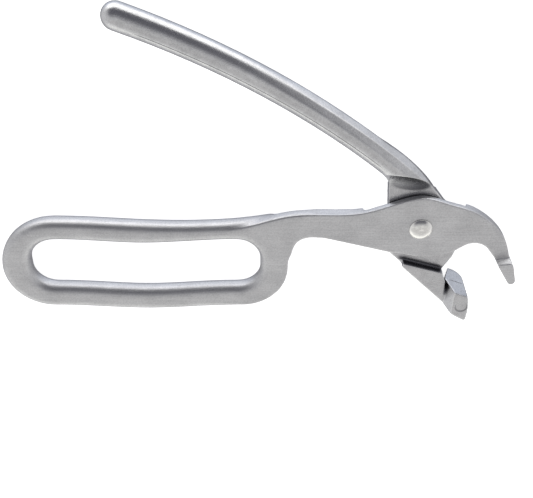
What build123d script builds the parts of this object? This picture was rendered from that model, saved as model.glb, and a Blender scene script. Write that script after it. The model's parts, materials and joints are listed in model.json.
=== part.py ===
from build123d import *
import math
import os

# Hot pan gripper: two cast levers crossing at one rivet, lying flat on a table.
# +X points from the finger loop to the jaws, +Y from the loop lever to the grip rod, +Z up.
# Every outline is drawn in millimetres from the pivot, on a level plane at some height.

# ---- driving dimensions -------------------------------------------------------------
loop_reach = 170.4          # pivot to the far end of the finger loop, along X
hook_reach = 40.8           # pivot to the front of the hook jaw, along X
jaw_drop = 43.8             # pivot to the tip of the lower jaw, along Y
jaw_width = 17.6            # depth of the lower jaw head, which is what lies on the table

# front lever plate and its finger loop
front_plate = 3.0           # thickness over the pivot, where the rear plate passes behind
neck_plate = 5.0            # thickness of the neck and of the hook behind the relief
face_rise = 4.0             # front face of the plate above the middle plane
loop_thick = 8.8            # thickness of the finger loop, through Z
loop_round = 3.7            # rounding of the loop's section
loop_end_upper = 23.8       # outside radius at the far end of the loop, above its middle
loop_end_lower = 19.5       # and below it
loop_heel_radius = 19.0     # outside radius at the near end of the loop
loop_end_height = -21.2     # middle of the far end, from the pivot
loop_heel = -52.5           # right-hand side of the loop, from the pivot
end_bar = 12.2              # width of the loop's bar at its far end
heel_bar = 11.3             # width of the loop's bar beside the neck
upper_bar = 9.2             # height of the loop's upper bar
lower_bar = 10.5            # height of the loop's lower bar
slot_radius = 9.8           # corner radius of the finger slot beside the neck
slot_far_upper = 11.6       # the same at its far end, above
slot_far_lower = 9.0        # and below
bow = 1.7                   # how far each long side bows down in the middle
hook_width = 14.0           # depth of the hook's tip
hook_ramp = 3.0             # ramp where the tip grows wider than the plate

# rear lever
rear_plate = 4.4            # thickness of the plate behind the front one
plate_gap = 0.1             # running gap each side of the rear plate
web_thick = 8.0             # thickness of the lower jaw's web
rod_diameter = 10.3         # round grip rod
rod_bend = 343.2            # radius of the rod's gentle arc
rod_bend_x = -234.3         # centre of that arc, from the pivot
rod_bend_y = -235.1
rod_reach = 112.8           # pivot to the centre of the rod's rounded end, along X
root_round = 3.6            # rounding of the shoulder's inner side, where the rod meets the plate
root_ridge = 2.2            # bevel along its outer side
root_sink = 0.4             # how far its flat faces lie below the crest of the rod

# pivot
rivet_shank = 6.0
rivet_head = 9.4
rivet_dome = 1.7            # height of the domed head
rivet_rim = 0.45            # straight rim below the dome
running_clearance = 0.05    # radial, between the shank and the rear lever
press_clearance = 0.01      # radial, between the shank and the front lever
washer_diameter = 10.5
washer_thick = 0.8
tail_diameter = 8.4
tail_height = 1.5

# ---- levels and places that follow --------------------------------------------------
middle = jaw_width / 2
face = middle + face_rise
front_back = face - front_plate
neck_back = face - neck_plate
rear_front = front_back - plate_gap
rear_back = rear_front - rear_plate
loop_back = face - loop_thick
web_back = middle - web_thick / 2
web_front = middle + web_thick / 2
washer_top = rear_back - plate_gap
tail_top = washer_top - washer_thick



def rod_height(x):
    """Height of the rod's centre line above the pivot, along Y, at a distance x along X."""
    return rod_bend_y + math.sqrt(rod_bend**2 - (x - rod_bend_x) ** 2)


rod_end = (-rod_reach, rod_height(-rod_reach))
pivot_x = (loop_reach - hook_reach) / 2
pivot_y = (jaw_drop - rod_end[1] - rod_diameter / 2) / 2


def level(height):
    """A horizontal plane whose origin is on the rivet's axis."""
    return Plane(origin=(pivot_x, pivot_y, height))


# ---- loop lever: finger loop, neck, plate and hook ----------------------------------
neck_join_back = 8.0        # end of the loop's top side, from its right-hand side
neck_join_rise = 0.9
neck_slope = (-1, -0.2)     # direction of the loop's top side where it meets the neck
loop_top = loop_end_height + loop_end_upper
loop_bottom = loop_end_height - loop_end_lower
far_top_x = -loop_reach + loop_end_upper
far_low_x = -loop_reach + loop_end_lower
heel_x = loop_heel - loop_heel_radius
neck_join = (loop_heel - neck_join_back, loop_top + neck_join_rise)
middle_x = (far_low_x + heel_x) / 2
slot_far = -loop_reach + end_bar
slot_near = loop_heel - heel_bar
slot_top = loop_top - upper_bar
slot_bottom = loop_bottom + lower_bar
slot_near_x = slot_near - slot_radius
slot_far_top_x = slot_far + slot_far_upper
slot_far_low_x = slot_far + slot_far_lower


def long_side(start_x, end_x, height):
    """One long side of the loop or its slot, level at both ends and bowed down between them."""
    way = 1 if end_x > start_x else -1
    points = [(start_x, height), (middle_x, height - bow), (end_x, height)]
    return Spline(*points, tangents=[(way, 0), (way, 0)])


with BuildPart() as finger_loop:
    with BuildSketch(level(loop_back)):
        with BuildLine():
            Spline(
                neck_join,
                (middle_x, loop_top - bow),
                (far_top_x, loop_top),
                tangents=[neck_slope, (-1, 0)],
            )
            TangentArc((far_top_x, loop_top), (-loop_reach, loop_end_height), tangent=(-1, 0))
            TangentArc((-loop_reach, loop_end_height), (far_low_x, loop_bottom), tangent=(0, -1))
            long_side(far_low_x, heel_x, loop_bottom)
            TangentArc((heel_x, loop_bottom), (loop_heel, loop_bottom + loop_heel_radius), tangent=(1, 0))
            Spline((loop_heel, loop_bottom + loop_heel_radius), neck_join, tangents=[(0, 1), neck_slope])
        make_face()
        with BuildLine():
            long_side(slot_near_x, slot_far_top_x, slot_top)
            TangentArc((slot_far_top_x, slot_top), (slot_far, slot_top - slot_far_upper), tangent=(-1, 0))
            Line((slot_far, slot_top - slot_far_upper), (slot_far, slot_bottom + slot_far_lower))
            TangentArc(
                (slot_far, slot_bottom + slot_far_lower),
                (slot_far_low_x, slot_bottom),
                tangent=(0, -1),
            )
            long_side(slot_far_low_x, slot_near_x, slot_bottom)
            TangentArc((slot_near_x, slot_bottom), (slot_near, slot_bottom + slot_radius), tangent=(1, 0))
            Line((slot_near, slot_bottom + slot_radius), (slot_near, slot_top - slot_radius))
            TangentArc((slot_near, slot_top - slot_radius), (slot_near_x, slot_top), tangent=(0, 1))
        make_face(mode=Mode.SUBTRACT)
    extrude(amount=loop_thick)
    fillet(finger_loop.faces().group_by(Axis.Z)[0].edges(), radius=loop_round)
    fillet(finger_loop.faces().group_by(Axis.Z)[-1].edges(), radius=loop_round)

# Plate outline, clockwise from the loop: top edge, crown over the pivot, hook, throat, underside.
neck_start_back = 6.0
neck_start = (heel_x - neck_start_back, loop_top - loop_round)
neck_rise = (-50.0, 6.4)
neck_saddle = (-24.0, 7.4)
crown_left = (-10.2, 12.0)
crown = (0.2, 14.4)
crown_right = (10.6, 11.5)
hook_back = (20.0, 8.3)
hook_bend = (33.0, -2.9)
tip_top = (37.4, -13.4)
tip_inside = (31.4, -14.2)
throat_right = (28.0, -9.6)
throat_crown = (22.6, -7.0)
throat_left = (17.6, -8.8)
throat_corner = (13.8, -11.4)
chin = (5.0, -13.6)
chin_left = (-6.0, -12.2)
neck_corner = (-11.0, -11.6)
underside = (-30.0, -6.6)
heel_top = (-42.9, -4.3)
heel_bend = (-48.9, -7.0)
heel_curve = (-51.4, -13.4)
heel_inset = 1.8            # the plate's sharp heel edge sits this far up the loop's rounding
heel_side = (loop_heel, loop_bottom + heel_inset + loop_heel_radius)
heel_foot = (heel_x, loop_bottom + heel_inset)
run_out_length = 24.0       # how far the plate's foot runs on inside the lower bar
corner_inset = 0.6          # the plate's inner edge, inside the loop around the slot's near end
side_inset = 4.4
upper_inset = 4.8
upper_drop = 4.0
top_back = 2.5
top_inset = 2.4
run_out = (heel_x - run_out_length, loop_bottom + loop_round)
run_back = (slot_near_x, slot_bottom - upper_drop)
inner_corner = (slot_near + corner_inset, slot_bottom - corner_inset)
inner_side = (slot_near + side_inset, slot_bottom + slot_radius)
inner_low = (slot_near + upper_inset, slot_top - upper_drop)
inner_high = (slot_near - top_back, slot_top + top_inset)

neck_lead = (1, 0.2)        # directions of the outline's curves at their ends
hook_lead = (0.3, -1)
heel_lead = (-1, 0.23)

with BuildSketch(level(neck_back)) as plate_outline:
    with BuildLine():
        Spline(
            neck_start,
            neck_rise,
            neck_saddle,
            crown_left,
            crown,
            crown_right,
            hook_back,
            hook_bend,
            tip_top,
            tangents=[neck_lead, hook_lead],
        )
        Line(tip_top, tip_inside)
        Line(tip_inside, throat_right)
        ThreePointArc(throat_right, throat_crown, throat_left)
        Line(throat_left, throat_corner)
        ThreePointArc(throat_corner, chin, chin_left)
        Line(chin_left, neck_corner)
        Line(neck_corner, underside)
        Spline(underside, heel_top, heel_bend, heel_curve, heel_side, tangents=[heel_lead, (0, -1)])
        TangentArc(heel_side, heel_foot, tangent=(0, -1))
        Polyline(heel_foot, run_out, run_back, inner_corner, inner_side, inner_low, inner_high, neck_start)
    make_face()

# Behind the pivot the plate is thinned, so that the rear plate swings inside its thickness.
swing_radius = 22.8         # furthest point of the rear plate that passes behind the front one
swing_clearance = 1.2
pad_top = (16.2, 12.0)      # edge of the thicker hook, clear of the swing
pad_bottom = (23.2, -8.0)
pad_margin = 5.0
pad_outer = hook_reach + pad_margin

# Wide tip of the hook, with a ramp up from the plate on both faces.
tip_shoulder = (38.9, -16.4)
tip_front = (hook_reach, -23.8)
tip_width = 3.2             # width of the rounded end
tip_end = (hook_reach - tip_width / 2, -25.4)
tip_back = (hook_reach - tip_width, -24.4)

with BuildPart() as hook_tip:
    with BuildSketch(level(middle - hook_width / 2)):
        with BuildLine():
            Polyline(tip_top, tip_shoulder, tip_front)
            ThreePointArc(tip_front, tip_end, tip_back)
            Polyline(tip_back, tip_inside, tip_top)
        make_face()
    extrude(amount=hook_width)
    ramp_edges = hook_tip.edges().filter_by(Axis.Z, reverse=True).group_by(Axis.Y)[-1]
    chamfer(ramp_edges, length=hook_ramp)

with BuildPart() as loop_lever:
    add(finger_loop.part)
    extrude(plate_outline.sketch, amount=neck_plate)
    with BuildSketch(level(neck_back)):
        Circle(swing_radius + swing_clearance)
        with BuildLine():
            Polyline(pad_top, pad_bottom, (pad_outer, pad_bottom[1]), (pad_outer, pad_top[1]), close=True)
        make_face(mode=Mode.SUBTRACT)
    extrude(amount=front_back - neck_back, mode=Mode.SUBTRACT)
    add(hook_tip.part)
    with BuildSketch(level(front_back)):
        Circle(rivet_shank / 2 + press_clearance)
    extrude(amount=front_plate, mode=Mode.SUBTRACT)
loop_lever.part.label = "loop_lever"

# ---- grip lever: rod, shoulder, rear plate and lower jaw -----------------------------
rod_heel_x = -9.0           # where the rod ends inside the shoulder
rod_heel = (rod_heel_x, rod_height(rod_heel_x))
rod_middle_x = (rod_heel_x - rod_reach) / 2
rod_middle = (rod_middle_x, rod_height(rod_middle_x))

with BuildPart() as grip_rod:
    with BuildLine(level(middle)) as rod_path:
        ThreePointArc(rod_heel, rod_middle, rod_end)
    with BuildSketch(rod_path.line ^ 0):
        Circle(rod_diameter / 2)
    sweep(path=rod_path.line)
    with Locations(rod_path.line @ 1):
        Sphere(rod_diameter / 2)

# Shoulder between the rod and the rear plate. Its walls start inside the rod and come out of it
# slowly, so that a ridge grows along the rod's outer side.
root_left_top = (-42.0, 45.8)
root_left_high = (-22.4, 29.4)
root_left_mid = (-16.4, 23.6)
root_left = (-13.8, 17.6)
root_right = (4.7, 15.6)
root_right_mid = (-1.4, 23.6)
root_right_high = (-13.0, 33.9)
root_right_top = (-40.0, 50.5)
root_left_leave = (0.79, -0.61)    # directions of the two walls at the rod and at the plate
root_left_meet = (0.05, -1)
root_right_meet = (-0.5, 0.86)
root_right_leave = (-0.86, 0.51)
root_thick = rod_diameter - 2 * root_sink
scoop_radius = 9.5          # hollow ramp from the rod's front down to the rear plate

with BuildPart() as shoulder:
    with BuildSketch(level(middle - root_thick / 2)):
        with BuildLine():
            Spline(
                root_left_top,
                root_left_high,
                root_left_mid,
                root_left,
                tangents=[root_left_leave, root_left_meet],
            )
            Line(root_left, root_right)
            Spline(
                root_right,
                root_right_mid,
                root_right_high,
                root_right_top,
                tangents=[root_right_meet, root_right_leave],
            )
            Line(root_right_top, root_left_top)
        make_face()
    extrude(amount=root_thick)
    side_edges = shoulder.edges().filter_by(GeomType.BSPLINE).sort_by(Axis.X)
    fillet(side_edges[:2], radius=root_round)
    chamfer(side_edges[2:], length=root_ridge)

scoop_middle = (Vector(*root_left) + Vector(*root_right)) / 2
scoop_plane = Plane(
    origin=(scoop_middle.X + pivot_x, scoop_middle.Y + pivot_y, rear_front + scoop_radius),
    z_dir=(root_right[0] - root_left[0], root_right[1] - root_left[1], 0),
)

# Rear plate: left side from the shoulder to the jaw, right side back up to the shoulder.
rear_left_top = (-13.9, 18.0)
rear_left = (-13.2, 8.0)
rear_left_low = (-12.9, -11.8)
ledge_left = (-5.2, -17.2)
rear_left_foot = (-5.7, -18.9)
ledge_right = (11.3, -22.0)
rear_right_low = (14.9, -15.9)
rear_right = (15.8, -2.0)
rear_right_top = (8.9, 10.3)
rear_top = (5.0, 15.6)

# Lower jaw: web in the middle, wide head at the end. The head's left side is a wedge, widest
# at the middle plane, and each half of it has two flat facets that meet in a crease.
web_shoulder = (13.0, -27.0)
web_foot = (13.4, -37.9)
wedge_top = (13.6, -27.6)
head_top_left = (16.4, -28.7)
head_top_right = (22.1, -30.9)
head_front = (22.9, -38.6)
head_tip = (22.4, -jaw_drop)
head_belly = (17.4, -40.9)
facet_foot = (16.2, -39.0)
crease_foot = (13.2, -36.7)
head_blend = 4.6            # rounding of the head's biting face into its far side


def facet(first, second, third):
    """Cutting plane through three (x, y, height) points from the pivot, facing the -X side."""
    corners = [Vector(x + pivot_x, y + pivot_y, z) for x, y, z in (first, second, third)]
    normal = (corners[1] - corners[0]).cross(corners[2] - corners[0]).normalized()
    if normal.X > 0:
        normal = -normal
    return Plane(origin=corners[0], z_dir=normal)


with BuildPart() as jaw_head:
    with BuildSketch(level(0)):
        with BuildLine():
            Polyline(wedge_top, head_top_left, head_top_right)
            ThreePointArc(head_top_right, head_front, head_tip)
            ThreePointArc(head_tip, head_belly, web_foot)
            Polyline(web_foot, crease_foot, wedge_top)
        make_face()
    extrude(amount=jaw_width)
    for outer, web_side in ((jaw_width, web_front), (0, web_back)):
        crease = (*crease_foot, web_side)
        corner = (*head_top_left, outer)
        split(bisect_by=facet(crease, corner, (*wedge_top, middle)), keep=Keep.BOTTOM)
        split(bisect_by=facet(crease, corner, (*facet_foot, outer)), keep=Keep.BOTTOM)
    far_side_edges = jaw_head.faces().group_by(Axis.Z)[0].edges()
    fillet(far_side_edges.sort_by(Axis.X)[-1], radius=head_blend)

with BuildPart() as grip_lever:
    add(grip_rod.part)
    add(shoulder.part)
    with BuildSketch(scoop_plane):
        Circle(scoop_radius)
    extrude(amount=rod_diameter * 2, both=True, mode=Mode.SUBTRACT)
    with BuildSketch(level(rear_back)):
        with BuildLine():
            Polyline(rear_left_top, rear_left, rear_left_low, rear_left_foot, ledge_right, rear_right_low)
            ThreePointArc(rear_right_low, rear_right, rear_right_top)
            Polyline(rear_right_top, rear_top, rear_left_top)
        make_face()
    extrude(amount=rear_plate)
    with BuildSketch(level(web_back)):
        with BuildLine():
            Polyline(ledge_left, ledge_right, web_shoulder, crease_foot, web_foot, rear_left_foot, close=True)
        make_face()
    extrude(amount=web_thick)
    add(jaw_head.part)
    with BuildSketch(level(rear_back)):
        Circle(rivet_shank / 2 + running_clearance)
    extrude(amount=rear_plate, mode=Mode.SUBTRACT)
grip_lever.part.label = "grip_lever"

# ---- rivet and washer ----------------------------------------------------------------
with BuildPart() as pivot_rivet:
    with BuildSketch(level(tail_top)):
        Circle(rivet_shank / 2)
    extrude(amount=face - tail_top)
    with BuildSketch(level(face)):
        Circle(rivet_head / 2)
    extrude(amount=rivet_dome)
    dome_edge = pivot_rivet.edges().group_by(Axis.Z)[-1]
    fillet(dome_edge, radius=rivet_dome - rivet_rim)
    with BuildSketch(level(tail_top - tail_height)):
        Circle(tail_diameter / 2)
    extrude(amount=tail_height)
    tail_edge = pivot_rivet.edges().group_by(Axis.Z)[0]
    fillet(tail_edge, radius=tail_height / 2)
pivot_rivet.part.label = "pivot_rivet"

with BuildPart() as rivet_washer:
    with BuildSketch(level(tail_top)):
        Circle(washer_diameter / 2)
        Circle(rivet_shank / 2 + press_clearance, mode=Mode.SUBTRACT)
    extrude(amount=washer_thick)
rivet_washer.part.label = "rivet_washer"

# ---- written pieces -------------------------------------------------------------------
os.makedirs("parts", exist_ok=True)
export_step(loop_lever.part, "parts/loop_lever.step")
export_step(grip_lever.part, "parts/grip_lever.step")
export_step(pivot_rivet.part, "parts/pivot_rivet.step")
export_step(rivet_washer.part, "parts/rivet_washer.step")
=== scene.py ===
import json
import math

import bpy
import numpy as np
from mathutils import Matrix, Vector


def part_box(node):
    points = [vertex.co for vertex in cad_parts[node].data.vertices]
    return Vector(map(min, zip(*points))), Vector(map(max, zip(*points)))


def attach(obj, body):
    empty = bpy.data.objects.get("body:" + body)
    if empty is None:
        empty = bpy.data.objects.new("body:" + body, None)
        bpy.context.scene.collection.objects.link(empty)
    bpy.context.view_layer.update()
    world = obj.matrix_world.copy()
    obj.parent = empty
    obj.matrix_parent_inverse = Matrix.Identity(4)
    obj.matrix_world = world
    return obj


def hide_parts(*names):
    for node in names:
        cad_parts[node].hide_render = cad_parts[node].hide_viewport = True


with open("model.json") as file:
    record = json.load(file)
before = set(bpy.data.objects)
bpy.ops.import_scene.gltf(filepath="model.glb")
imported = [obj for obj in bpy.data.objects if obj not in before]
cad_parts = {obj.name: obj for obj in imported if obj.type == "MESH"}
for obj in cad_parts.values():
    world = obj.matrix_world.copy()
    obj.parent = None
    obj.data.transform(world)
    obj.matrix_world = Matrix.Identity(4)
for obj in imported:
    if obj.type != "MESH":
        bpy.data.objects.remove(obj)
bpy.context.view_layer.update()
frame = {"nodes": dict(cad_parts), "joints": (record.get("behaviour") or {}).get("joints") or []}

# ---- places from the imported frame, in metres ------------------------------------------
MM = 0.001
PIVOT = Vector(frame["joints"][0]["pos_m"])
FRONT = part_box("loop_lever")
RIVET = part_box("pivot_rivet")
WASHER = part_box("rivet_washer")


def at(x, y, z=0.0):
    """A point given in millimetres from the pivot and the middle plane."""
    return Vector((PIVOT.x + x * MM, PIVOT.y + y * MM, PIVOT.z + z * MM))


# ---- materials ---------------------------------------------------------------------------
def new_material(name):
    mat = bpy.data.materials.new(name)
    mat.use_nodes = True
    tree = mat.node_tree
    tree.nodes.clear()
    out = tree.nodes.new("ShaderNodeOutputMaterial")
    shader = tree.nodes.new("ShaderNodeBsdfPrincipled")
    tree.links.new(shader.outputs["BSDF"], out.inputs["Surface"])
    return mat, tree, shader


def coords(tree, scale):
    """Object coordinates in metres, stretched by a scale along each axis."""
    tex = tree.nodes.new("ShaderNodeTexCoord")
    mapping = tree.nodes.new("ShaderNodeMapping")
    mapping.inputs["Scale"].default_value = scale
    tree.links.new(tex.outputs["Object"], mapping.inputs["Vector"])
    return mapping.outputs["Vector"]


def noise(tree, vector, scale, detail, rough):
    node = tree.nodes.new("ShaderNodeTexNoise")
    node.inputs["Scale"].default_value = scale
    node.inputs["Detail"].default_value = detail
    node.inputs["Roughness"].default_value = rough
    tree.links.new(vector, node.inputs["Vector"])
    return node.outputs["Fac"]


def remap(tree, value, low, high, to_low, to_high):
    node = tree.nodes.new("ShaderNodeMapRange")
    for name, number in (("From Min", low), ("From Max", high), ("To Min", to_low), ("To Max", to_high)):
        node.inputs[name].default_value = number
    tree.links.new(value, node.inputs["Value"])
    return node.outputs["Result"]


def math_node(tree, operation, a, b):
    node = tree.nodes.new("ShaderNodeMath")
    node.operation = operation
    for socket, value in zip(node.inputs, (a, b)):
        if isinstance(value, (int, float)):
            socket.default_value = value
        else:
            tree.links.new(value, socket)
    return node.outputs["Value"]


def mix_colour(tree, factor, a, b):
    node = tree.nodes.new("ShaderNodeMix")
    node.data_type = "RGBA"
    tree.links.new(factor, node.inputs["Factor"])
    for name, value in (("A", a), ("B", b)):
        socket = [s for s in node.inputs if s.name == name and s.type == "RGBA"][0]
        if isinstance(value, tuple):
            socket.default_value = value
        else:
            tree.links.new(value, socket)
    return [s for s in node.outputs if s.type == "RGBA"][0]


def bump(tree, shader, height, distance, strength):
    node = tree.nodes.new("ShaderNodeBump")
    node.inputs["Distance"].default_value = distance
    node.inputs["Strength"].default_value = strength
    tree.links.new(height, node.inputs["Height"])
    tree.links.new(node.outputs["Normal"], shader.inputs["Normal"])


def attribute(tree, name):
    node = tree.nodes.new("ShaderNodeAttribute")
    node.attribute_name = name
    return node.outputs["Fac"]


def cast_aluminium(name, grain, dull, keen):
    """Satin cast aluminium: fine bead texture, faint linished grain on flats, brighter worn edges that
    also carry a painted highlight, and painted shade in creases, recesses and between parts.
    """
    mat, tree, shader = new_material(name)
    shader.inputs["Metallic"].default_value = 1.0
    pores = noise(tree, coords(tree, (1, 1, 1)), 1700, 3.0, 0.65)
    cloud = noise(tree, coords(tree, (1, 1, 1)), 90, 3.0, 0.5)
    streak = noise(tree, coords(tree, grain), 60, 5.0, 0.7)
    fine = math_node(tree, "MULTIPLY", pores, 0.45)
    broad = math_node(tree, "MULTIPLY", cloud, 0.25)
    tone = math_node(tree, "ADD", fine, broad)
    tone = math_node(tree, "ADD", tone, math_node(tree, "MULTIPLY", streak, 0.3))
    shade = remap(tree, tone, 0.36, 0.64, 0.0, 1.0)
    colour = mix_colour(tree, shade, (0.54, 0.54, 0.55, 1), (0.78, 0.78, 0.79, 1))
    # worn edges, also a painted highlight: convex edges lightened towards near-white
    wear_and_highlight = attribute(tree, "edge")
    # painted shade in creases plus the painted shade patches, read from the mesh
    painted_shade = attribute(tree, "painted_shade")
    colour = mix_colour(tree, wear_and_highlight, colour, (0.93, 0.93, 0.94, 1))
    # painted shade: darker where ambient occlusion finds creases, recesses and gaps between parts
    occlusion_shade = tree.nodes.new("ShaderNodeAmbientOcclusion")
    occlusion_shade.samples = 8
    occlusion_shade.inputs["Distance"].default_value = 6 * MM
    shade_amount = remap(tree, occlusion_shade.outputs["AO"], 0.25, 0.75, 0.75, 0.0)
    shade_amount = math_node(tree, "MAXIMUM", shade_amount, painted_shade)
    # mixes in the dark painted shade colour
    colour = mix_colour(tree, shade_amount, colour, (0.13, 0.13, 0.145, 1))
    tree.links.new(colour, shader.inputs["Base Color"])
    rough = remap(tree, tone, 0.36, 0.64, dull, keen)
    rough = math_node(tree, "SUBTRACT", rough, math_node(tree, "MULTIPLY", wear_and_highlight, 0.08))
    tree.links.new(rough, shader.inputs["Roughness"])
    pits = math_node(tree, "MULTIPLY", pores, 0.7)
    lines = math_node(tree, "MULTIPLY", streak, 0.5)
    bump(tree, shader, math_node(tree, "ADD", pits, lines), 0.07 * MM, 0.85)
    return mat


def polished_rivet():
    mat, tree, shader = new_material("rivet_polished")
    shader.inputs["Metallic"].default_value = 1.0
    scuff = noise(tree, coords(tree, (1, 1, 1)), 900, 4.0, 0.6)
    shade = remap(tree, scuff, 0.35, 0.65, 0.0, 1.0)
    colour = mix_colour(tree, shade, (0.90, 0.89, 0.86, 1), (1.0, 0.99, 0.96, 1))
    tree.links.new(colour, shader.inputs["Base Color"])
    tree.links.new(remap(tree, scuff, 0.35, 0.65, 0.24, 0.14), shader.inputs["Roughness"])
    bump(tree, shader, scuff, 0.00008, 0.5)
    return mat


def brushed_washer():
    mat, tree, shader = new_material("washer_brushed")
    shader.inputs["Metallic"].default_value = 1.0
    lines = noise(tree, coords(tree, (40, 1, 40)), 120, 4.0, 0.7)
    shade = remap(tree, lines, 0.35, 0.65, 0.0, 1.0)
    colour = mix_colour(tree, shade, (0.56, 0.56, 0.57, 1), (0.74, 0.74, 0.75, 1))
    tree.links.new(colour, shader.inputs["Base Color"])
    tree.links.new(remap(tree, lines, 0.35, 0.65, 0.42, 0.26), shader.inputs["Roughness"])
    bump(tree, shader, lines, 0.00005, 0.6)
    return mat


# ---- mesh code ---------------------------------------------------------------------------
def link(obj):
    bpy.context.scene.collection.objects.link(obj)
    return obj


def evaluated(obj, name):
    """A new mesh with the object's modifiers applied."""
    dg = bpy.context.evaluated_depsgraph_get()
    dg.update()
    mesh = bpy.data.meshes.new_from_object(obj.evaluated_get(dg))
    mesh.name = name
    return mesh


def get_co(mesh):
    co = np.empty(len(mesh.vertices) * 3)
    mesh.vertices.foreach_get("co", co)
    return co.reshape(-1, 3)


def set_co(mesh, co):
    mesh.vertices.foreach_set("co", co.astype(np.float32).ravel())
    mesh.update()


def edge_list(mesh):
    ed = np.empty(len(mesh.edges) * 2, np.int64)
    mesh.edges.foreach_get("vertices", ed)
    return ed.reshape(-1, 2)


def neighbour_mean(co, ed, count):
    n = len(co)
    out = np.empty_like(co)
    for k in range(co.shape[1]):
        total = np.bincount(ed[:, 0], co[ed[:, 1], k], n) + np.bincount(ed[:, 1], co[ed[:, 0], k], n)
        out[:, k] = total / count
    return out


def smooth(co, ed, weight, rounds):
    """Weighted averaging with the neighbours, the same number of rounds everywhere."""
    count = np.bincount(ed.ravel(), minlength=len(co)).astype(float)
    weight = weight[:, None] * 0.5
    for _ in range(rounds):
        co = co + weight * (neighbour_mean(co, ed, count) - co)
    return co


def ramp(value, low, high):
    """Smooth 0 to 1 step."""
    t = np.clip((value - low) / (high - low), 0, 1)
    return t * t * (3 - 2 * t)


def float_attribute(mesh, name, values):
    attr = mesh.attributes.new(name, "FLOAT", "POINT")
    attr.data.foreach_set("value", values.astype(np.float32))


def curvature(co, ed, mesh):
    """Signed bend at each vertex: positive on outside edges, negative in hollows."""
    count = np.bincount(ed.ravel(), minlength=len(co)).astype(float)
    normal = np.empty(len(co) * 3)
    mesh.vertices.foreach_get("normal", normal)
    normal = normal.reshape(-1, 3)
    bend = ((co - neighbour_mean(co, ed, count)) * normal).sum(1)
    return smooth(bend[:, None], ed, np.ones(len(co)), 3)[:, 0]


def casting(name, node, voxel, shape, soften, shade_patches, detail):
    """The CAD node's shape, rebuilt as one even skin, reshaped and softened like a casting."""
    source = link(bpy.data.objects.new(name + "_source", frame["nodes"][node].data.copy()))
    remesh = source.modifiers.new("skin", "REMESH")
    remesh.mode = "VOXEL"
    remesh.voxel_size = voxel
    mesh = evaluated(source, name)
    bpy.data.objects.remove(source)
    co = get_co(mesh)
    ed = edge_list(mesh)
    local = (co - np.array(PIVOT)) / MM
    local = shape(local)
    weight, rounds = soften(local)
    local = detail(smooth(local, ed, weight, rounds))
    co = local * MM + np.array(PIVOT)
    low, high = (np.array(v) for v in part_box(node))
    co = np.clip(co, low, high)
    set_co(mesh, co)
    bend = curvature(co, ed, mesh) / voxel
    # worn convex edges, also a painted highlight along them
    float_attribute(mesh, "edge", ramp(bend, 0.05, 0.16))
    # painted shade: darkening in creases from the concave bend, plus the painted shade patches
    float_attribute(mesh, "painted_shade", np.maximum(0.6 * ramp(-bend, 0.05, 0.2), shade_patches(local)))
    mesh.polygons.foreach_set("use_smooth", np.ones(len(mesh.polygons), bool))
    mesh.materials.clear()
    return link(bpy.data.objects.new(name, mesh))


def loop_shape(p):
    """The hook's ramp is dished, steepest where it meets the wide tip."""
    p = p.copy()
    tip = (p[:, 0] > 30) & (p[:, 1] < -12) & (p[:, 2] > 4.05)
    t = np.clip(((p[:, 2] - 4) / 3 - 0.12) / 0.42, 0, 1)
    p[tip, 2] = (4 + 3 * t ** 1.3)[tip]
    return p


# no painted shade patches on this casting
def no_shade_patches(p):
    return np.zeros(len(p))


def as_it_is(p):
    return p


def loop_soften(p):
    x, y = p[:, 0], p[:, 1]
    near = ramp(x, -92, -72) * (1 - ramp(x, -48, -38)) * ramp(y, -14, -8)
    step = ramp(x, -30, -26) * (1 - ramp(x, -21, -18))
    step = step * ramp(y, 4, 6) * (1 - ramp(p[:, 2], 1.5, 3.0))
    jaw = ramp(x, 26, 30)
    weight = 0.24 - 0.12 * jaw
    weight = np.maximum(weight, np.maximum(near, 0.8 * step))
    return weight, 40


ROD_BEND = (-234.3, -235.1)     # middle of the rod's arc, from the pivot
ROD_BEND_RADIUS = 343.2
ROD_RADIUS = 5.15
FACETS = ((72, 0.5), (42, 0.34))    # degrees the facet's normal leans from +Z, depth below the rod
FACET_FADE = (-70, -36)         # along X, where the facets grow out of the round rod
FACET_FOOT = (17, 22)           # along Y, where they end above the scoop
FACET_LIMIT = 2                 # most that either may take off
EJECTOR = (19.9, -35.9, 2.45)   # round mark on the jaw head: place and radius
EJECTOR_DEPTH = 0.26
SCOOP = (-5.6, 19.3)            # middle of the painted shade patch in the scoop by the rod
SCOOP_SIZE = (8.8, 3.2)
SCOOP_TURN = math.radians(-6)
LEDGE = (-5.2, -17.2)           # left end of the painted shade band along the jaw's ledge
LEDGE_FALL = 4.8 / 16.5


def rear_shape(p):
    """Two long facets along the rod's outer side, meeting in a crease. They are not in the CAD."""
    q = p.copy()
    dx, dy = q[:, 0] - ROD_BEND[0], q[:, 1] - ROD_BEND[1]
    reach = np.hypot(dx, dy)
    out = reach - ROD_BEND_RADIUS
    along = ramp(q[:, 0], *FACET_FADE) * ramp(q[:, 1], *FACET_FOOT)
    for turn, depth in FACETS:
        aside, up = math.sin(math.radians(turn)), math.cos(math.radians(turn))
        over = out * aside + q[:, 2] * up - (ROD_RADIUS - depth)
        over = np.clip(over, 0, FACET_LIMIT) * along
        out = out - over * aside
        q[:, 2] = q[:, 2] - over * up
    q[:, 0] = ROD_BEND[0] + dx / reach * (ROD_BEND_RADIUS + out)
    q[:, 1] = ROD_BEND[1] + dy / reach * (ROD_BEND_RADIUS + out)
    return q


def rear_detail(p):
    """A shallow round ejector mark on the jaw head's front."""
    p = p.copy()
    ring = np.hypot(p[:, 0] - EJECTOR[0], p[:, 1] - EJECTOR[1])
    p[:, 2] -= EJECTOR_DEPTH * (1 - ramp(ring, EJECTOR[2] - 0.16, EJECTOR[2] + 0.16)) * (p[:, 2] > 8)
    return p


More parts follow.
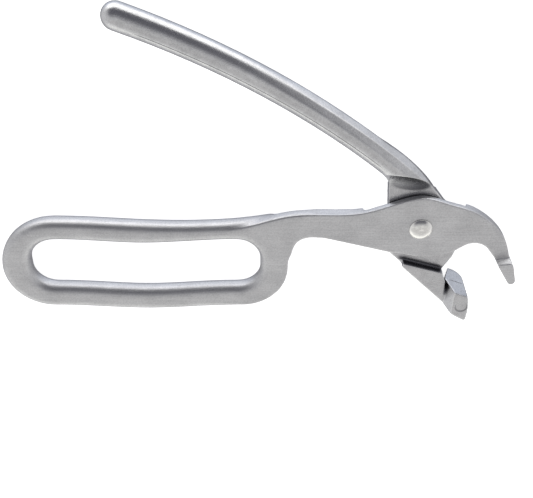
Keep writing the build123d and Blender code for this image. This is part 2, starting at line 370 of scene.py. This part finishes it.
def rear_shade_patches(p):
    """Painted shade, placed one by one: the scoop by the rod, the jaw's ledge, the ejector's rim."""
    dx, dy = p[:, 0] - SCOOP[0], p[:, 1] - SCOOP[1]
    u = dx * math.cos(SCOOP_TURN) + dy * math.sin(SCOOP_TURN)
    v = -dx * math.sin(SCOOP_TURN) + dy * math.cos(SCOOP_TURN)
    patch = np.hypot(u / SCOOP_SIZE[0], v / SCOOP_SIZE[1])
    # painted shade patch in the scoop by the rod
    scoop_shade = (1 - ramp(patch, 0.75, 1.05)) * (p[:, 2] > -1)
    scoop_shade = scoop_shade * (0.55 + 0.4 * ramp(u - 1.5 * v, -7, 7))
    # painted shade band along the jaw's ledge
    over = (p[:, 1] - LEDGE[1]) + (p[:, 0] - LEDGE[0]) * LEDGE_FALL
    ledge = ramp(over, -0.25, 0.05) * (1 - ramp(over, 0.8, 2.4)) * (p[:, 2] > 0) * (p[:, 2] < 3.9)
    ledge = ledge * ramp(p[:, 0], -8, -6) * (1 - ramp(p[:, 0], 11.3, 12.3))
    # painted dark line round the ejector mark's rim
    ring = np.abs(np.hypot(p[:, 0] - EJECTOR[0], p[:, 1] - EJECTOR[1]) - EJECTOR[2])
    rim = (1 - ramp(ring, 0.1, 0.34)) * (p[:, 2] > 8)
    return np.maximum(scoop_shade, np.maximum(ledge, 0.7 * rim))


def rear_soften(p):
    x, y = p[:, 0], p[:, 1]
    root = ramp(y, 15, 19) * ramp(x, -34, -20)
    start = ramp(x, -48, -40) * (1 - ramp(x, -30, -22)) * ramp(y, 15, 19)
    weight = np.maximum(0.12 + 0.1 * root, 0.55 * start)
    return weight, 30


def lathe(name, profile, centre, segments=96):
    """A turned piece: profile points are (radius, height) in metres, from the axis to the axis."""
    rows = []
    verts = []
    for radius, height in profile:
        if radius < 1e-9:
            rows.append([len(verts)])
            verts.append((centre[0], centre[1], height))
            continue
        row = []
        for k in range(segments):
            a = 2 * math.pi * k / segments
            row.append(len(verts))
            verts.append((centre[0] + radius * math.cos(a), centre[1] + radius * math.sin(a), height))
        rows.append(row)
    faces = []
    for low, high in zip(rows, rows[1:]):
        for k in range(segments):
            n = (k + 1) % segments
            if len(low) == 1:
                faces.append((low[0], high[k], high[n]))
            elif len(high) == 1:
                faces.append((low[n], low[k], high[0]))
            else:
                faces.append((low[n], low[k], high[k], high[n]))
    mesh = bpy.data.meshes.new(name)
    mesh.from_pydata(verts, [], faces)
    mesh.update()
    mesh.polygons.foreach_set("use_smooth", np.ones(len(mesh.polygons), bool))
    return link(bpy.data.objects.new(name, mesh))


def arc_profile(cx, cz, r, a0, a1, steps):
    return [
        (cx + r * math.cos(math.radians(a0 + (a1 - a0) * k / steps)),
         cz + r * math.sin(math.radians(a0 + (a1 - a0) * k / steps)))
        for k in range(steps + 1)
    ]


# ---- castings ----------------------------------------------------------------------------
front_metal = cast_aluminium("cast_front", (1, 22, 22), 0.50, 0.40)
rear_metal = cast_aluminium("cast_rear", (6, 6, 6), 0.32, 0.22)

front = casting("front_casting", "loop_lever", 0.32 * MM, loop_shape, loop_soften, no_shade_patches, as_it_is)
front.data.materials.append(front_metal)
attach(front, "front_lever")
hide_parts("loop_lever")

rear = casting("rear_casting", "grip_lever", 0.28 * MM, rear_shape, rear_soften, rear_shade_patches, rear_detail)
rear.data.materials.append(rear_metal)
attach(rear, "rear_lever")
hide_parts("grip_lever")

# ---- parting lines -----------------------------------------------------------------------
def bead(name, points, radius, body, sides=8):
    """A thin raised line along points, in metres."""
    verts, faces = [], []
    for k, point in enumerate(points):
        ahead = (points[min(k + 1, len(points) - 1)] - points[max(k - 1, 0)]).normalized()
        across = ahead.cross(Vector((0, 0, 1))).normalized()
        over = across.cross(ahead)
        taper = min(1.0, 0.15 + 0.25 * min(k, len(points) - 1 - k))
        for s in range(sides):
            a = 2 * math.pi * s / sides
            verts.append(point + (across * math.cos(a) + over * math.sin(a)) * radius * taper)
    for k in range(len(points) - 1):
        for s in range(sides):
            t = (s + 1) % sides
            faces.append((k * sides + s, k * sides + t, (k + 1) * sides + t, (k + 1) * sides + s))
    faces.append(tuple(range(sides - 1, -1, -1)))
    faces.append(tuple(range((len(points) - 1) * sides, len(points) * sides)))
    mesh = bpy.data.meshes.new(name)
    mesh.from_pydata([tuple(v) for v in verts], [], faces)
    mesh.update()
    mesh.polygons.foreach_set("use_smooth", np.ones(len(mesh.polygons), bool))
    obj = link(bpy.data.objects.new(name, mesh))
    obj.data.materials.append(seam_metal)
    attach(obj, body)
    return obj


def seam_material():
    mat, tree, shader = new_material("cast_seam")
    shader.inputs["Metallic"].default_value = 1.0
    grains = noise(tree, coords(tree, (1, 1, 1)), 1500, 3.0, 0.6)
    colour = mix_colour(tree, grains, (0.20, 0.20, 0.215, 1), (0.42, 0.42, 0.43, 1))
    tree.links.new(colour, shader.inputs["Base Color"])
    tree.links.new(remap(tree, grains, 0.3, 0.7, 0.6, 0.4), shader.inputs["Roughness"])
    return mat


seam_metal = seam_material()
SEAM_TURN = math.radians(-22)    # where the rod's parting line runs, round its section
SEAM_SPAN = (-107.0, -15.0)      # along X, from the pivot
SEAM_STEPS = 80
SEAM_SINK = 0.05                 # how far its middle lies under the rod's surface
SEAM_RADIUS = 0.14 * MM
seam_height = (ROD_RADIUS - SEAM_SINK) * math.cos(SEAM_TURN)
seam_reach = ROD_BEND_RADIUS + (ROD_RADIUS - SEAM_SINK) * math.sin(SEAM_TURN)
seam = []
for k in range(SEAM_STEPS + 1):
    x = SEAM_SPAN[0] + (SEAM_SPAN[1] - SEAM_SPAN[0]) * k / SEAM_STEPS
    a = math.acos((x - ROD_BEND[0]) / ROD_BEND_RADIUS)
    x_seam = ROD_BEND[0] + seam_reach * math.cos(a)
    y_seam = ROD_BEND[1] + seam_reach * math.sin(a)
    seam.append(at(x_seam, y_seam, seam_height))
bead("rod_parting_line", seam, SEAM_RADIUS, "rear_lever")
land = [at(14.6 + 7.6 * k / 12, -28.04 - 2.95 * k / 12, 0.0) for k in range(13)]
bead("jaw_parting_line", land, SEAM_RADIUS, "rear_lever")

# ---- rivet and washer ------------------------------------------------------------------------
z0, z1 = RIVET[0].z, RIVET[1].z
head_r = (RIVET[1].x - RIVET[0].x) / 2
head_z = z1 - 1.7 * MM
washer_low, washer_high = WASHER[0].z, WASHER[1].z
washer_r = (WASHER[1].x - WASHER[0].x) / 2
tail_r = 4.2 * MM
tail_round = 0.75 * MM
shank_r = 3.0 * MM
bore_r = 3.02 * MM
dome = [(0.0, z1 - 0.16 * MM), (0.5 * MM, z1 - 0.14 * MM), (1.0 * MM, z1 - 0.03 * MM), (1.3 * MM, z1)]
dome += [(1.7 * MM, z1 - 0.02 * MM), (2.4 * MM, z1 - 0.13 * MM), (3.1 * MM, z1 - 0.36 * MM)]
dome += [(3.7 * MM, z1 - 0.66 * MM), (4.2 * MM, z1 - 1.02 * MM), (4.52 * MM, z1 - 1.34 * MM)]
dome += [(head_r, z1 - 1.56 * MM), (head_r - 0.04 * MM, head_z + 0.04 * MM), (head_r - 0.12 * MM, head_z)]
tail = [(shank_r, head_z), (shank_r, washer_low), (tail_r, washer_low), (tail_r, washer_low - tail_round)]
tail += arc_profile(tail_r - tail_round, z0 + tail_round, tail_round, 0, -90, 8)[1:] + [(0.0, z0)]
rivet = lathe("rivet_head", dome + tail, PIVOT)
rivet.data.materials.append(polished_rivet())
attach(rivet, "front_lever")
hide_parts("pivot_rivet")

ring = [(bore_r, washer_high), (washer_r - 0.15 * MM, washer_high), (washer_r, washer_high - 0.12 * MM)]
ring += [(washer_r, washer_low + 0.12 * MM), (washer_r - 0.15 * MM, washer_low), (bore_r, washer_low)]
ring += [(bore_r, washer_high)]
washer = lathe("washer_ring", ring, PIVOT)
washer.data.materials.append(brushed_washer())
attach(washer, "front_lever")
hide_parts("rivet_washer")

# ---- floor, light, camera ------------------------------------------------------------------
floor_mesh = bpy.data.meshes.new("floor")
half = 3.0                      # half the floor's width
corners = [(-half, -half, 0), (half, -half, 0), (half, half, 0), (-half, half, 0)]
floor_mesh.from_pydata(corners, [], [(0, 1, 2, 3)])
floor = link(bpy.data.objects.new("floor", floor_mesh))
paper, tree, shader = new_material("paper_floor")
tone = noise(tree, coords(tree, (1, 1, 1)), 400, 2.0, 0.5)
colour = mix_colour(tree, tone, (0.90, 0.90, 0.90, 1), (0.93, 0.93, 0.93, 1))
tree.links.new(colour, shader.inputs["Base Color"])
shader.inputs["Roughness"].default_value = 0.9
shader.inputs["Emission Color"].default_value = (1.0, 1.0, 1.0, 1.0)
shader.inputs["Emission Strength"].default_value = 0.75
floor.data.materials.append(paper)
floor.visible_glossy = False

world = bpy.data.worlds.new("studio")
bpy.context.scene.world = world
world.use_nodes = True
tree = world.node_tree
tree.nodes.clear()
out = tree.nodes.new("ShaderNodeOutputWorld")
back = tree.nodes.new("ShaderNodeBackground")
tree.links.new(back.outputs["Background"], out.inputs["Surface"])
unit = tree.nodes.new("ShaderNodeSeparateXYZ")
tree.links.new(tree.nodes.new("ShaderNodeTexCoord").outputs["Generated"], unit.inputs[0])
angle = math_node(tree, "ARCTAN2", unit.outputs["Y"], unit.outputs["Z"])
turn = remap(tree, angle, -math.pi, math.pi, 0.0, 1.0)
# Degrees from straight up, towards +Y, and the brightness there. Made up, and set for the
# photograph's viewing angle: it is not a measured room.
STUDIO = (
    (-180, (0.10, 0.10, 0.11)), (-135, (0.12, 0.12, 0.13)), (-108, (0.30, 0.30, 0.31)),
    (-78, (0.58, 0.58, 0.56)), (-50, (0.35, 0.35, 0.35)), (-34, (0.275, 0.27, 0.27)),
    (-6, (0.32, 0.32, 0.32)), (14, (0.20, 0.20, 0.21)), (32, (0.065, 0.065, 0.075)),
    (80, (0.065, 0.065, 0.075)), (94, (1.0, 1.0, 0.98)), (120, (0.90, 0.90, 0.92)),
    (142, (0.38, 0.405, 0.46)), (166, (0.30, 0.32, 0.36)), (180, (0.10, 0.10, 0.11)),
)
sky = tree.nodes.new("ShaderNodeValToRGB")
while len(sky.color_ramp.elements) < len(STUDIO):
    sky.color_ramp.elements.new(0.5)
for stop, (degrees, colour) in zip(sky.color_ramp.elements, STUDIO):
    stop.position = (degrees + 180) / 360
    stop.color = (*colour, 1)
tree.links.new(turn, sky.inputs["Fac"])
side = remap(tree, math_node(tree, "ABSOLUTE", unit.outputs["X"], 0.0), 0.55, 0.95, 0.0, 1.0)
level = mix_colour(tree, side, sky.outputs["Color"], (0.36, 0.36, 0.365, 1))
tree.links.new(level, back.inputs["Color"])
back.inputs["Strength"].default_value = 2.0


def softbox(name, place, target, size, energy):
    data = bpy.data.lights.new(name, "AREA")
    data.shape = "RECTANGLE"
    data.size, data.size_y = size
    data.energy = energy
    obj = link(bpy.data.objects.new(name, data))
    obj.location = place
    obj.rotation_euler = (target - place).to_track_quat("-Z", "Y").to_euler()
    obj.visible_glossy = False
    return obj


centre = (FRONT[0] + FRONT[1]) / 2
softbox("key", centre + Vector((-0.4, 0.8, 0.9)), centre, (0.9, 0.9), 4.0)
softbox("fill", centre + Vector((0.3, -0.7, 1.1)), centre, (1.2, 1.2), 3.0)

cam_data = bpy.data.cameras.new("camera")
cam_data.sensor_width = 36.0
cam_data.lens = 57.41
cam_data.clip_start = 0.01
cam_data.clip_end = 50.0
camera = link(bpy.data.objects.new("camera", cam_data))
tilt = math.radians(36)         # camera's lean from straight above, towards +Y
right = Vector((1, 0, 0))
up = Vector((0, math.cos(tilt), -math.sin(tilt)))
behind = Vector((0, math.sin(tilt), math.cos(tilt)))
place = at(-61.231, 191.878, 281.253)
camera.matrix_world = Matrix((
    (right.x, up.x, behind.x, place.x),
    (right.y, up.y, behind.y, place.y),
    (right.z, up.z, behind.z, place.z),
    (0, 0, 0, 1),
))
bpy.context.scene.camera = camera
bpy.context.scene.view_settings.view_transform = "Standard"
